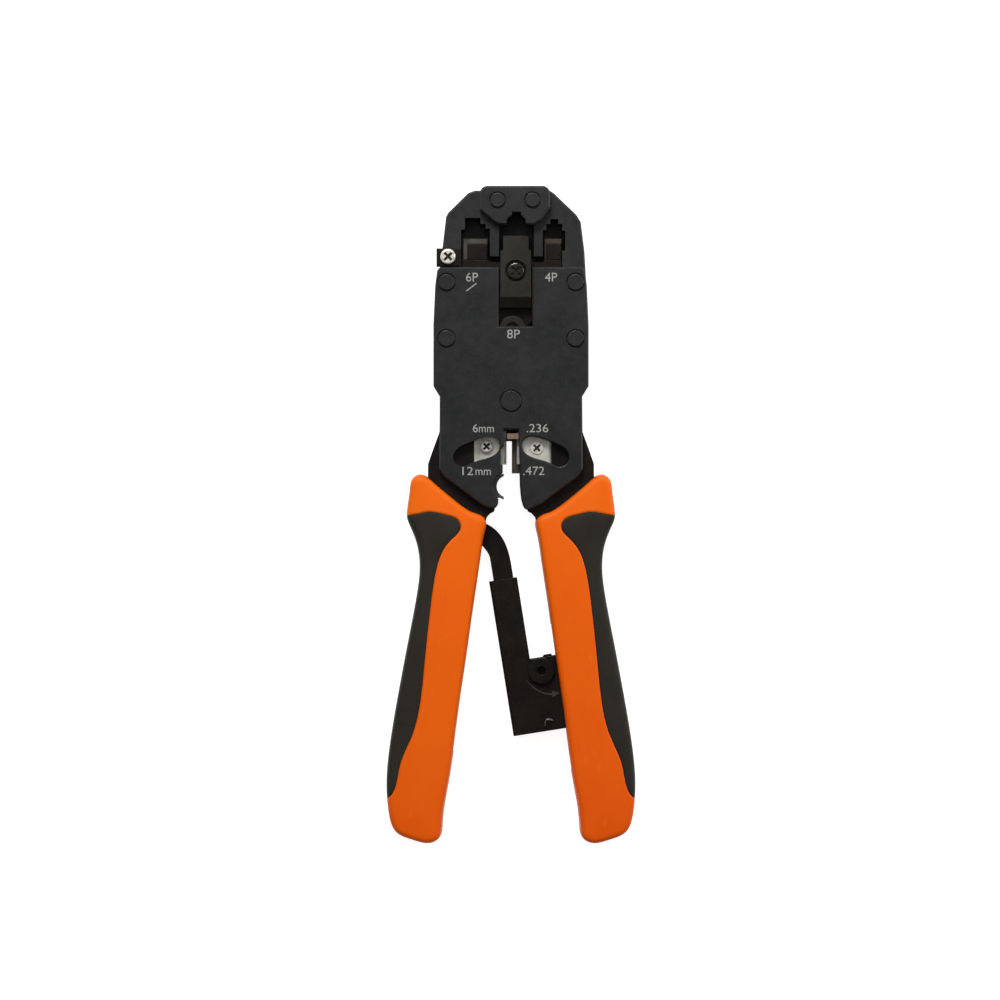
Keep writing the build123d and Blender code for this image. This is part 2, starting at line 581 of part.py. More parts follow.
def pawl():
    """The ratchet pawl: a nose at the teeth, an ear for its spring and a thumb tail on top."""
    nose = [(10.6, -30.6), (8.9, -36.6), (8.35, -38.9), (10.4, -38.2), (13.6, -34.0)]
    tail = [(10.9, -30.0), (14.0, -26.6), (16.6, -26.6), (16.6, -28.4), (14.6, -31.2)]
    ear = [(12.0, -34.0), (15.4, -36.6), (16.8, -35.6), (14.6, -30.6)]
    shape = Pos(*KNOB) * Circle(3.4) + polygon(nose) + polygon(tail) + polygon(ear)
    body = slab(shape, (8.3, 11.7))
    body -= cylinder(KNOB, 2.0, (8.3, 11.7))
    return in_housing(body)


def release_knob():
    """The pawl's shaft with a wide round head and a hexagon socket."""
    head = Pos(KNOB[0], KNOB[1], HOUSING_Z[1] + 0.75) * Cylinder(4.4, 1.4)
    head = fillet(top_edges(head), 0.4)
    shaft = cylinder(KNOB, 2.0, (HOUSING_Z[0], HOUSING_Z[1] + 0.05))
    socket = Pos(*KNOB) * RegularPolygon(1.7, 6)
    return in_housing(head + shaft - slab(socket, (HOUSING_Z[1] - 1.0, HOUSING_Z[1] + 2.0)))


def spring_anchor_pin():
    return in_housing(cylinder(SPRING_ANCHOR, 0.7, (HOUSING_Z[0], HOUSING_Z[1] + 0.3)))


def pawl_spring():
    """The small extension spring that pulls the pawl's ear and so holds its nose to the teeth."""
    low = Vector(SPRING_ANCHOR[0] + 0.2, SPRING_ANCHOR[1] + 1.1, 10.0)
    high = Vector(15.4, -37.2, 10.0)
    run = high - low
    coil = helix_spring(1.1, 0.25, 0.75, run.length)
    return in_housing(Plane(low, z_dir=run) * coil)


def rack_pin():
    return cylinder(RACK_PIN, RACK_PIN_R, (TANG_BACK[0], TANG_FRONT[1]))


def housing_pin():
    return cylinder(HOUSING_PIN, HOUSING_PIN_R, (TANG_BACK[0], TANG_FRONT[1]))


PIECES = {
    "front_plate": front_plate,
    "back_plate": back_plate,
    "die_frame": die_frame,
    "nest_plate_8p": nest_plate,
    "nest_rivets": nest_rivets,
    "frame_rivets": frame_rivets,
    "left_pivot_rivet": lambda: pivot_rivet(-1),
    "right_pivot_rivet": lambda: pivot_rivet(1),
    "centre_rivet": centre_rivet,
    "locator_bracket": locator_bracket,
    "locator_screw": locator_screw,
    "cable_stop": cable_stop,
    "return_spring": return_spring,
    "ram": ram,
    "pusher_6p": lambda: pusher(-14.3, -7.7),
    "pusher_4p": lambda: pusher(11.6, 16.6),
    "contact_block_6p": lambda: contact_block(-15.9, -7.6, 6),
    "contact_block_4p": lambda: contact_block(10.9, 16.7, 4),
    "die_strip_8p": die_strip,
    "die_strip_screw": strip_screw,
    "ram_roller": ram_roller,
    "ram_roller_pin": roller_pin,
    "left_arm": left_arm,
    "left_grip": lambda: grip(-1),
    "left_grip_overmould": lambda: grip_overmould(-1),
    "left_blade": left_blade,
    "left_blade_screw": lambda: blade_screw(LEFT_SCREW, LEFT_BLADE_Z, 1.3),
    "round_cable_blade": round_cable_blade,
    "rack_pin": rack_pin,
    "right_arm": right_arm,
    "right_grip": lambda: grip(1),
    "right_grip_overmould": lambda: grip_overmould(1),
    "right_blade": right_blade,
    "right_blade_screw": lambda: blade_screw(RIGHT_SCREW, RIGHT_BLADE_Z, 0.4),
    "stripping_anvil": stripping_anvil,
    "housing_pin": housing_pin,
    "ratchet_rack": rack,
    "ratchet_housing": ratchet_housing,
    "pawl": pawl,
    "release_knob": release_knob,
    "pawl_spring_anchor": spring_anchor_pin,
    "pawl_spring": pawl_spring,
}

for name, build in PIECES.items():
    made = build()
    solids = made if isinstance(made, list) else made.solids()
    shape = solids[0] if len(solids) == 1 else Compound(children=list(solids))
    export_step(shape, f"parts/{name}.step")
    print(name, len(solids))
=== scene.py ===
import math

import bpy
import numpy as np
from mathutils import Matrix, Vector, geometry


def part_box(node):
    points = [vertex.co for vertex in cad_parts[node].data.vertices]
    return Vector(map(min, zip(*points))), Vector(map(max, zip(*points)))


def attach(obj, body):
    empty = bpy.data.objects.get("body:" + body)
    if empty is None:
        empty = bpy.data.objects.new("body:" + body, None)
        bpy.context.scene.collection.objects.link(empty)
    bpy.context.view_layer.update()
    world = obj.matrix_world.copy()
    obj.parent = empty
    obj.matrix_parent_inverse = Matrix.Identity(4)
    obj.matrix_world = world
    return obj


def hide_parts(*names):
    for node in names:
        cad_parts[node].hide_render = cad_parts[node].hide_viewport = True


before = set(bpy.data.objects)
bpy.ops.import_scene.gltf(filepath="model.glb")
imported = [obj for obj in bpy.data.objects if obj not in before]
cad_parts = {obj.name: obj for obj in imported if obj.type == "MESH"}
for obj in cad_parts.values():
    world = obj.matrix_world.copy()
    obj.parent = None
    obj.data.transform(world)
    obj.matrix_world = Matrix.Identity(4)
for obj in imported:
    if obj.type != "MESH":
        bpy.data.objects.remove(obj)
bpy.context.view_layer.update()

MM = 0.001
BEVEL_SAMPLES = 6
CREASE_DEG = 32
scene = bpy.context.scene

# ---------------------------------------------------------------- materials
# Patterns use object coordinates, in metres, so a scale of 1000 is one cell per millimetre.


class Look:
    """One Principled material and short calls that add nodes to it."""

    def __init__(self, name):
        self.mat = bpy.data.materials.new(name)
        self.mat.use_nodes = True
        self.tree = self.mat.node_tree
        self.shader = self.tree.nodes["Principled BSDF"]
        self.place = self.add("ShaderNodeTexCoord").outputs["Object"]

    def add(self, kind, links=None, **values):
        """A node with its attributes (lower case) and its input sockets (links by name) set."""
        node = self.tree.nodes.new(kind)
        for key, value in values.items():
            setattr(node, key, value)
        for key, value in (links or {}).items():
            if isinstance(value, bpy.types.NodeSocket):
                self.tree.links.new(value, node.inputs[key])
            else:
                node.inputs[key].default_value = value
        return node

    def stretched(self, scale, turn=0.0):
        """Object coordinates turned about Z, then stretched, for grain that runs one way."""
        links = {"Vector": self.place, "Rotation": (0, 0, turn), "Scale": scale}
        return self.add("ShaderNodeMapping", links).outputs["Vector"]

    def noise(self, scale, detail=3.0, vector=None):
        links = {"Vector": vector or self.place, "Scale": scale, "Detail": detail}
        return self.add("ShaderNodeTexNoise", links).outputs["Fac"]

    def band(self, value, low, high, to_low=0.0, to_high=1.0):
        """value from low..high to to_low..to_high, clamped."""
        links = {"Value": value, "From Min": low, "From Max": high, "To Min": to_low, "To Max": to_high}
        return self.add("ShaderNodeMapRange", links).outputs["Result"]

    def uneven(self, scale, detail, low, high):
        """A roughness that drifts between low and high."""
        return self.band(self.noise(scale, detail), 0.3, 0.7, low, high)

    def maths(self, operation, a, b):
        return self.add("ShaderNodeMath", {0: a, 1: b}, operation=operation).outputs[0]

    def mix(self, share, a, b):
        """Colour a blended to colour b by share."""
        node = self.add("ShaderNodeMix", data_type="RGBA")
        for key, value in ((0, share), (6, a), (7, b)):
            if isinstance(value, bpy.types.NodeSocket):
                self.tree.links.new(value, node.inputs[key])
            else:
                node.inputs[key].default_value = value if key == 0 else (*value, 1.0)
        return node.outputs[2]

    def edges(self, radius):
        """1 on outer and inner edges, 0 on faces."""
        rounded = self.add("ShaderNodeBevel", {"Radius": radius}, samples=BEVEL_SAMPLES).outputs["Normal"]
        flat = self.add("ShaderNodeNewGeometry").outputs["Normal"]
        dot = self.add("ShaderNodeVectorMath", {0: rounded, 1: flat}, operation="DOT_PRODUCT")
        return self.band(dot.outputs["Value"], 0.995, 0.80)

    def finish(self, colour, roughness, bumps=(), bevel=0.0, metallic=0.0):
        """Links the colour and roughness; bumps is a list of (height, depth in metres)."""
        normal = None
        if bevel:
            normal = self.add("ShaderNodeBevel", {"Radius": bevel}, samples=BEVEL_SAMPLES).outputs["Normal"]
        for height, depth in bumps:
            links = {"Height": height, "Distance": depth, "Strength": 1.0}
            if normal:
                links["Normal"] = normal
            normal = self.add("ShaderNodeBump", links).outputs["Normal"]
        self.tree.links.new(colour, self.shader.inputs["Base Color"])
        self.tree.links.new(roughness, self.shader.inputs["Roughness"])
        if normal:
            self.tree.links.new(normal, self.shader.inputs["Normal"])
        self.shader.inputs["Metallic"].default_value = metallic
        return self.mat


def black_oxide(name, dark, light, worn, rough, specular=0.5):
    """Satin black on steel: soft mottling, a fine shot-blasted grain, and paler worn edges."""
    look = Look(name)
    cloud = look.band(look.noise(90, 4.0), 0.35, 0.68)
    speck = look.band(look.noise(2600, 2.0), 0.62, 0.74)
    body = look.mix(cloud, dark, light)
    body = look.mix(look.maths("MULTIPLY", speck, 0.35), body, worn)
    chipped = look.band(look.noise(700, 3.0), 0.42, 0.62)
    wear = look.maths("MULTIPLY", look.edges(0.00022), look.maths("MULTIPLY", chipped, 0.75))
    colour = look.mix(wear, body, worn)
    roughness = look.uneven(400, 3.0, rough - 0.06, rough + 0.08)
    look.shader.inputs["Specular IOR Level"].default_value = specular
    bumps = [(look.noise(1500, 2.0), 0.000025), (look.noise(220, 2.0), 0.00003)]
    return look.finish(colour, roughness, bumps, bevel=0.00015)


def plated(name, base, shade, recess_shade, rough, top, high):
    """Bright plating on a screw whose head is high metres high, with painted shade below its top face: the
    cross recess and the rounded rim are darkened to stand in for their shade.
    """
    look = Look(name)
    scuff = look.band(look.noise(900, 4.0), 0.45, 0.7)
    height = look.add("ShaderNodeSeparateXYZ", {0: look.place}).outputs["Z"]
    # painted shade: everything more than 0.28 of the head's height below its top blends to the dark tone
    painted_shade_mask = look.band(height, top - 0.28 * high, top - 0.5 * high)
    colour = look.mix(painted_shade_mask, look.mix(scuff, base, shade), recess_shade)
    roughness = look.uneven(1300, 3.0, rough, rough + 0.16)
    return look.finish(colour, roughness, [(look.noise(1800, 2.0), 0.000012)], bevel=0.00008, metallic=0.55)


def ground(name, base, shade, rough, turn):
    """Ground steel: fine parallel lines left by the wheel, darker stains between them."""
    look = Look(name)
    lines = look.noise(1.0, 3.0, look.stretched((9000, 320, 320), turn))
    stain = look.band(look.noise(260, 4.0), 0.4, 0.7)
    colour = look.mix(stain, base, shade)
    colour = look.mix(look.band(lines, 0.45, 0.75, 0.0, 0.35), colour, shade)
    roughness = look.band(lines, 0.3, 0.7, rough - 0.05, rough + 0.15)
    return look.finish(colour, roughness, [(lines, 0.000012)], bevel=0.00008, metallic=0.5)


def drawn_wire(name, base, shade, rough):
    """Bright drawn metal with fine uneven streaks."""
    look = Look(name)
    streak = look.band(look.noise(1400, 4.0), 0.4, 0.7)
    colour = look.mix(streak, base, shade)
    roughness = look.uneven(2200, 2.0, rough, rough + 0.15)
    return look.finish(colour, roughness, [(look.noise(3000, 2.0), 0.00001)], metallic=1.0)


def hard_plastic(name, base, deep_and_shaded, pale, rough):
    """Smooth moulded plastic with satin grain and scuffs; its colour drifts at random and is also painted
    deeper towards the grips' ends as painted shade for the light falling off there.
    """
    look = Look(name)
    shade_along_y = look.add("ShaderNodeSeparateXYZ", {0: look.place}).outputs["Y"]
    drift_and_shade = look.maths("MULTIPLY", look.band(look.noise(28, 3.0), 0.35, 0.65), 0.35)
    # painted shade: the orange turns up to 65% deeper from Y 10 mm down to Y -100 mm, for the light falling
    # off towards the grips' ends
    drift_and_shade = look.maths("ADD", drift_and_shade, look.band(shade_along_y, 0.01, -0.10, 0.0, 0.65))
    colour = look.mix(drift_and_shade, base, deep_and_shaded)
    scuff = look.band(look.noise(1.0, 5.0, look.stretched((700, 180, 420), 0.4)), 0.64, 0.78)
    colour = look.mix(look.maths("MULTIPLY", scuff, 0.14), colour, pale)
    roughness = look.uneven(160, 4.0, rough - 0.05, rough + 0.07)
    look.shader.inputs["Specular IOR Level"].default_value = 0.14
    bumps = [(look.noise(3400, 2.0), 0.000012), (look.noise(500, 2.0), 0.000012)]
    return look.finish(colour, roughness, bumps)


def rubber(name, base, dusty, rough):
    """Soft-touch overmould: a fine leathery grain with dust in its hollows."""
    look = Look(name)
    cells = look.add("ShaderNodeTexVoronoi", {"Vector": look.place, "Scale": 2100.0}).outputs["Distance"]
    grain = look.band(cells, 0.0, 0.6)
    dust = look.band(look.noise(60, 4.0), 0.4, 0.7)
    colour = look.mix(look.maths("MULTIPLY", dust, 0.5), base, dusty)
    colour = look.mix(look.band(grain, 0.5, 1.0, 0.0, 0.25), colour, dusty)
    roughness = look.uneven(300, 3.0, rough - 0.05, rough + 0.06)
    look.shader.inputs["Specular IOR Level"].default_value = 0.22
    bumps = [(grain, 0.00003), (look.noise(900, 3.0), 0.00002)]
    return look.finish(colour, roughness, bumps)


def laser_mark(name, pale, dull):
    """A laser-etched mark: bare frosted metal, a little uneven."""
    look = Look(name)
    colour = look.mix(look.band(look.noise(1800, 4.0), 0.35, 0.65), pale, dull)
    roughness = look.uneven(900, 2.0, 0.5, 0.65)
    look.shader.inputs["Specular IOR Level"].default_value = 0.3
    return look.finish(colour, roughness, [(look.noise(4000, 2.0), 0.00001)])


BLACKENED = ((0.0048, 0.0036, 0.0030), (0.0080, 0.0060, 0.0048), (0.050, 0.042, 0.035))
RUBBED = ((0.0095, 0.0084, 0.0064), (0.0150, 0.0134, 0.0105), (0.085, 0.078, 0.066))
BRONZED = ((0.022, 0.0145, 0.0105), (0.042, 0.030, 0.022), (0.11, 0.085, 0.065))
# the third tone is the painted shade in the screw heads' cross recesses and rounded rims
NICKEL = ((0.80, 0.77, 0.70), (0.50, 0.47, 0.41), (0.035, 0.030, 0.024))
LOOKS = {
    "black_steel": black_oxide(
        "black_steel_satin", (0.0085, 0.0089, 0.0090), (0.0135, 0.0138, 0.0136),
        (0.075, 0.075, 0.074), 0.40, 0.34),
    "blackened_parts": black_oxide("blackened_parts_satin", *BLACKENED, 0.40, 0.16),
    "bright_screw": drawn_wire("nickel_plate", NICKEL[0], NICKEL[1], 0.25),
    "blade_steel": ground("ground_steel", (0.62, 0.60, 0.53), (0.40, 0.385, 0.335), 0.34, 0.0),
    "dark_blade_steel": ground("hardened_steel", (0.066, 0.064, 0.054), (0.034, 0.032, 0.027), 0.42, 0.5),
    "anvil_brown": black_oxide("bronzed_steel", *BRONZED, 0.48),
    "spring_steel": drawn_wire("drawn_wire", (0.40, 0.40, 0.41), (0.20, 0.20, 0.205), 0.28),
    # the second tone serves both the random colour drift and the painted shade towards the grips' ends
    "grip_orange": hard_plastic(
        "orange_plastic", (0.665, 0.107, 0.0004), (0.60, 0.072, 0.0002), (0.80, 0.24, 0.06), 0.50),
    "grip_black": rubber("black_rubber", (0.0120, 0.0100, 0.0070), (0.021, 0.018, 0.0130), 0.70),
}
SCREW_HEADS = {"locator_screw": 0.0013, "left_blade_screw": 0.0013, "right_blade_screw": 0.0004}
NODE_LOOKS = {
    name: plated(name + "_nickel", *NICKEL, 0.24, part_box(name)[1][2], high)
    for name, high in SCREW_HEADS.items()
}
NODE_LOOKS["left_arm"] = NODE_LOOKS["right_arm"] = LOOKS["blackened_parts"]
NODE_LOOKS["pawl_spring_anchor"] = LOOKS["blackened_parts"]
NODE_LOOKS["die_strip_8p"] = NODE_LOOKS["ram_roller_pin"] = black_oxide("rubbed_black", *RUBBED, 0.42, 0.30)
NODE_LOOKS["die_strip_screw"] = black_oxide("glossy_black", *RUBBED, 0.20, 0.60)
NODE_LOOKS["contact_block_4p"] = black_oxide("browned_steel", *BRONZED, 0.45, 0.25)
NODE_LOOKS["round_cable_blade"] = ground("honed_steel", (0.24, 0.24, 0.225), (0.13, 0.13, 0.12), 0.40, 0.9)
NODE_LOOKS["cable_stop"] = black_oxide(
    "cable_stop_bronze", (0.20, 0.135, 0.095), (0.15, 0.10, 0.07), (0.30, 0.23, 0.18), 0.5, 0.3)

for name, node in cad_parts.items():
    slot = node.data.materials[0].name
    node.data.materials[0] = NODE_LOOKS.get(name, LOOKS[slot])

# ---------------------------------------------------------------- shared mesh code


def smooth_curve(points, closed, step):
    """Points about step apart on the cubic spline through the given ones."""
    knots = np.array(points + points[:1] if closed else points, float)
    run = np.linalg.norm(np.diff(knots, axis=0), axis=1)
    n = len(run)
    slope = np.diff(knots, axis=0) / run[:, None]
    system, right = np.eye(n + 1), np.zeros((n + 1, knots.shape[1]))
    for i in range(1, n):
        system[i, i - 1:i + 2] = run[i - 1], 2 * (run[i - 1] + run[i]), run[i]
        right[i] = 6 * (slope[i] - slope[i - 1])
    if closed:
        system[0, n] = -1.0
        system[n] = 0.0
        system[n, [0, 1, n - 1]] = 2 * (run[0] + run[-1]), run[0], run[-1]
        right[n] = 6 * (slope[0] - slope[-1])
    bend = np.linalg.solve(system, right)
    found = []
    for i, h in enumerate(run):
        count = max(1, round(h / step))
        for t in np.arange(count) / count * h:
            u = h - t
            cubic = (bend[i] * u ** 3 + bend[i + 1] * t ** 3) / (6 * h)
            line = (knots[i] / h - bend[i] * h / 6) * u + (knots[i + 1] / h - bend[i + 1] * h / 6) * t
            found.append(cubic + line)
    return np.array(found if closed else found + [knots[-1]])


def nearest(points, line, closed):
    """For each point, its distance to the polyline and the index of the nearest of its segments."""
    start = line if closed else line[:-1]
    end = np.roll(line, -1, axis=0) if closed else line[1:]
    shade_along_y = end - start
    rel = points[:, None] - start[None]
    share = np.clip((rel * shade_along_y).sum(2) / (shade_along_y * shade_along_y).sum(1), 0, 1)
    gap = np.linalg.norm(rel - share[..., None] * shade_along_y, axis=2)
    best = gap.argmin(axis=1)
    return gap[np.arange(len(points)), best], best


def inside(points, loop):
    """Whether each point lies inside the closed loop, by counting crossings."""
    x, y = points[:, 0, None], points[:, 1, None]
    x0, y0 = loop[:, 0], loop[:, 1]
    x1, y1 = np.roll(x0, -1), np.roll(y0, -1)
    spans = (y0 > y) != (y1 > y)
    with np.errstate(divide="ignore", invalid="ignore"):
        crossing = x0 + (y - y0) / (y1 - y0) * (x1 - x0)
    return (spans & (x < crossing)).sum(axis=1) % 2 == 1


def normals_of(line, closed):
    """Unit normals to the right of the line's direction."""
    if closed:
        run = np.roll(line, -1, axis=0) - np.roll(line, 1, axis=0)
    else:
        run = np.gradient(line, axis=0)
    run /= np.linalg.norm(run, axis=1)[:, None]
    return np.stack([run[:, 1], -run[:, 0]], axis=1)


def smoothstep(x):
    """0 to 1 with a level start and end, clamped."""
    x = np.clip(x, 0, 1)
    return x * x * (3 - 2 * x)


def piece(name, points_mm, faces, body, slot, replaced=()):
    """A mesh piece in millimetres that rides on a body, with its slot's material."""
    mesh = bpy.data.meshes.new(name)
    mesh.from_pydata((np.asarray(points_mm, float) * MM).tolist(), [], faces)
    mesh.validate()
    mesh.polygons.foreach_set("use_smooth", [True] * len(mesh.polygons))
    mesh.set_sharp_from_angle(angle=math.radians(CREASE_DEG))
    mesh.materials.append(LOOKS[slot])
    obj = bpy.data.objects.new(name, mesh)
    scene.collection.objects.link(obj)
    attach(obj, body)
    if replaced:
        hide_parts(*replaced)
    return obj


# ---------------------------------------------------------------- grips
# The outlines are the CAD's, for the right-hand grip, in millimetres.
HANDLE = [
    (30.0, 12.9), (32.2, 11.6), (33.0, 8.4), (33.9, 1.2), (33.9, -1.0), (33.0, -3.5), (31.0, -8.4),
    (29.7, -17.0), (30.6, -26.0), (33.4, -41.0), (36.6, -58.0), (39.3, -74.0), (40.6, -87.0),
    (40.1, -97.0), (37.6, -104.0), (32.0, -106.6), (26.2, -107.5), (23.8, -106.2), (22.8, -102.0),
    (20.6, -87.0), (17.8, -67.0), (14.9, -47.0), (12.2, -28.0), (10.0, -13.0), (8.9, -6.5),
    (8.3, -3.6), (8.5, -1.8), (9.7, -0.5), (12.5, 0.6), (15.4, 2.2), (19.3, 5.2), (25.0, 10.0),
    (27.6, 12.1),
]
OVERMOULD = [
    (37.0, -0.4), (31.5, 0.1), (26.5, 0.9), (20.6, -0.2), (17.2, -1.8), (16.4, -4.2), (19.0, -7.8),
    (22.3, -12.0), (24.6, -19.0), (26.4, -31.0), (28.2, -48.0), (29.6, -61.0), (32.2, -72.0),
    (36.4, -82.5), (40.0, -92.6), (43.0, -94.0),
]
OVERMOULD_OUTSIDE = [(52.0, -94.0), (52.0, -0.4)]
GRIP_MID = 10.0
CROWN, CROWN_REACH = 0.45, 10.0
EDGE_R = 1.7
GROOVE_DEEP, GROOVE_HALF = 0.24, 0.42
COVER_PROUD = 0.12
WALL_BULGE, PARTING_RIDGE = 0.28, 0.06
RINGS = (0.12, 0.35, 0.7, 1.15, 1.7, 2.6, 4.0, 6.0)
WALL_LEVELS = (0.85, 0.65, 0.4, 0.18, 0.035, 0.012)
SLOT_SPAN = {-1: (-78.0, 0.0), 1: (-84.0, -36.0)}
SLOT_X, SLOT_Z = 24.0, (4.5, 15.5)
RIM_STEP, GRID_STEP = 0.8, 2.2
COARSE_FROM, COARSE_SKIP = 2, 3
JOINT_CLEAR, JOINT_ROWS = 0.75, (0.14, 0.28, 0.42, 0.62)
COVER_RISE, COVER_RIM = 1.2, 2.0
ON_RIM, RIDGE_LEVEL = 1e-3, 0.02


def grip_plan(side):
    """The grip from the front as triangles, fine along its rim and the joint of its materials."""
    mirror = np.array([side, 1.0])
    rim = smooth_curve(HANDLE, True, RIM_STEP) * mirror
    joint = smooth_curve(OVERMOULD, False, RIM_STEP) * mirror
    inward = normals_of(rim, True)
    if not inside(rim[:1] + 0.1 * inward[:1], rim)[0]:
        inward = -inward
    spots = []
    for depth in RINGS:
        ring = rim + depth * inward
        ring = ring[:: 1 if depth < COARSE_FROM else COARSE_SKIP]
        spots.append(ring[(nearest(ring, rim, True)[0] > 0.97 * depth) & inside(ring, rim)])
    low, high = rim.min(axis=0), rim.max(axis=0)
    columns = np.arange(low[0], high[0], GRID_STEP)
    rows = np.arange(low[1], high[1], GRID_STEP)
    grid = np.stack(np.meshgrid(columns, rows), -1).reshape(-1, 2)
    spots.append(grid[inside(grid, rim) & (nearest(grid, rim, True)[0] > RINGS[-1] + 1.0)])
    spots = np.concatenate(spots)
    spots = spots[nearest(spots, joint, False)[0] > JOINT_CLEAR]
    across = normals_of(joint, False)
    for offset in JOINT_ROWS:
        for way in (-1, 1):
            line = joint + way * offset * across
            far = nearest(line, joint, False)[0] > 0.95 * offset
            spots = np.concatenate([spots, line[far & inside(line, rim)]])
    count, more = len(rim), len(joint)
    places = np.concatenate([rim, joint, spots])
    edges = [(i, (i + 1) % count) for i in range(count)]
    edges += [(count + i, count + i + 1) for i in range(more - 1)]
    made = geometry.delaunay_2d_cdt([Vector(q) for q in places.tolist()], edges, [], 0, 1e-6)
    plan = np.array([tuple(v) for v in made[0]])
    triangles = np.array([tuple(f) for f in made[2]])
    middle = plan[triangles].mean(axis=1)
    triangles = triangles[inside(middle, rim)]
    covered = np.concatenate([joint, np.array(OVERMOULD_OUTSIDE) * mirror])
    return rim, joint, inward, plan, triangles, inside(plan[triangles].mean(axis=1), covered)


def grip_half(plan, rim, joint, proud):
    """Half the grip's thickness at each point of the plan, and its distance to the rim."""
    to_rim = nearest(plan, rim, True)[0]
    to_joint = nearest(plan, joint, False)[0]
    corner = EDGE_R - np.clip(to_rim, 0, EDGE_R)
    rounding = EDGE_R - np.sqrt(EDGE_R ** 2 - corner ** 2)
    half = GRIP_MID - CROWN * (1 - smoothstep(to_rim / CROWN_REACH)) - rounding
    half -= GROOVE_DEEP * (1 - smoothstep(to_joint / GROOVE_HALF))
    return half + proud * smoothstep(to_joint / COVER_RISE) * smoothstep(to_rim / COVER_RIM) - proud, to_rim


def grip_solid(plan, triangles, half, to_rim, outward):
    """A closed solid on some of the plan's triangles: front, back, and a wall round them."""
    used = np.unique(triangles)
    number = {int(v): i for i, v in enumerate(used)}
    n = len(used)
    points = [(*plan[v], GRIP_MID + way * half[v]) for way in (1, -1) for v in used]
    faces, edge_use = [], {}
    for a, b, c in triangles:
        first, second = plan[b] - plan[a], plan[c] - plan[a]
        if first[0] * second[1] - first[1] * second[0] < 0:
            b, c = c, b
        tri = [number[int(v)] for v in (a, b, c)]
        faces.append(tuple(tri))
        faces.append(tuple(n + i for i in reversed(tri)))
        for i, j in ((a, b), (b, c), (c, a)):
            edge_use[(int(i), int(j))] = True
    levels = list(WALL_LEVELS) + [-t for t in reversed(WALL_LEVELS)]
    columns = {}

    def column(v):
        if v not in columns:
            chain = [number[v]]
            on_rim = to_rim[v] < ON_RIM
            for t in levels:
                swell = WALL_BULGE * (1 - t * t) + (PARTING_RIDGE if abs(t) < RIDGE_LEVEL else 0.0)
                move = outward[v] * swell if on_rim else (0.0, 0.0)
                points.append((plan[v][0] + move[0], plan[v][1] + move[1], GRIP_MID + t * half[v]))
                chain.append(len(points) - 1)
            columns[v] = chain + [n + number[v]]
        return columns[v]

    for i, j in edge_use:
        if (j, i) not in edge_use:
            left, right = column(i), column(j)
            for k in range(len(left) - 1):
                faces.append((left[k], left[k + 1], right[k + 1], right[k]))
    return points, faces


def cut_box(obj, x, y, z):
    """Cuts a box, given as (low, high) pairs in millimetres, out of obj for good."""
    corners = [(a * MM, b * MM, c * MM) for a in x for b in y for c in z]
    mesh = bpy.data.meshes.new("cutter")
    sides = [(0, 1, 3, 2), (4, 6, 7, 5), (0, 4, 5, 1), (2, 3, 7, 6), (0, 2, 6, 4), (1, 5, 7, 3)]
    mesh.from_pydata(corners, [], sides)
    cutter = bpy.data.objects.new("cutter", mesh)
    scene.collection.objects.link(cutter)
    boolean = obj.modifiers.new("slot", "BOOLEAN")
    boolean.operation = "DIFFERENCE"
    boolean.solver = "EXACT"
    boolean.object = cutter
    graph = bpy.context.evaluated_depsgraph_get()
    cut = bpy.data.meshes.new_from_object(obj.evaluated_get(graph))
    obj.modifiers.clear()
    cut.name = obj.name
    cut.set_sharp_from_angle(angle=math.radians(CREASE_DEG))
    obj.data = cut
    bpy.data.objects.remove(cutter)


def grips():
    """Each grip as two moulded pieces: the hard shell and the soft cover set into its outer side."""
    for side, word in ((-1, "left"), (1, "right")):
        rim, joint, inward, plan, triangles, covered = grip_plan(side)
        outward = -inward[nearest(plan, rim, True)[1]]
        for cover in (False, True):
            half, to_rim = grip_half(plan, rim, joint, COVER_PROUD if cover else 0.0)
            chosen = triangles[covered == cover]
            points, faces = grip_solid(plan, chosen, half, to_rim, outward)
            node = f"{word}_grip_overmould" if cover else f"{word}_grip"
            name = f"{word}_soft_cover" if cover else f"{word}_handle_shell"
            slot = "grip_black" if cover else "grip_orange"
            made = piece(name, points, faces, f"{word}_lever", slot, [node])
            cut_box(made, sorted((0.0, side * SLOT_X)), SLOT_SPAN[side], SLOT_Z)


grips()

# ---------------------------------------------------------------- marks and small wire
PLATE_FACE = 19.6
HOUSING_FACE = 13.7
MARK_THICK = 0.025
# text, (left, right), (bottom, top)
LABELS = [
    ("6P", (-14.7, -10.8), (76.2, 79.1)),
    ("4P", (11.1, 15.1), (76.2, 79.1)),
    ("8P", (-1.3, 2.9), (57.6, 60.5)),
    ("6", (-12.5, -10.8), (26.9, 29.6)),
    ("mm", (-10.5, -5.6), (26.9, 28.7)),
    (".236", (5.1, 12.2), (26.9, 29.6)),
    ("12", (-15.9, -12.4), (12.9, 15.6)),
    ("mm", (-11.6, -6.6), (12.9, 14.7)),
    (".472", (4.0, 10.9), (12.9, 15.7)),
]
SLASH = [(-14.75, 73.2), (-14.45, 73.0), (-11.2, 75.5), (-11.5, 75.7)]
ARROW_LINE = [(4.9, -54.4), (7.0, -56.5), (9.6, -58.2), (12.0, -58.95), (13.6, -58.95)]
ARROW_WIDTH = (0.12, 0.55)
ARROW_HEAD = [(13.5, -57.9), (16.0, -58.6), (13.7, -60.0)]
HOOK = [
    (11.3, -69.5, 13.95), (11.3, -68.3, 14.0), (11.7, -67.5, 14.05), (12.7, -67.3, 14.05),
    (13.9, -67.7, 13.95),
]
HOOK_R = 0.28


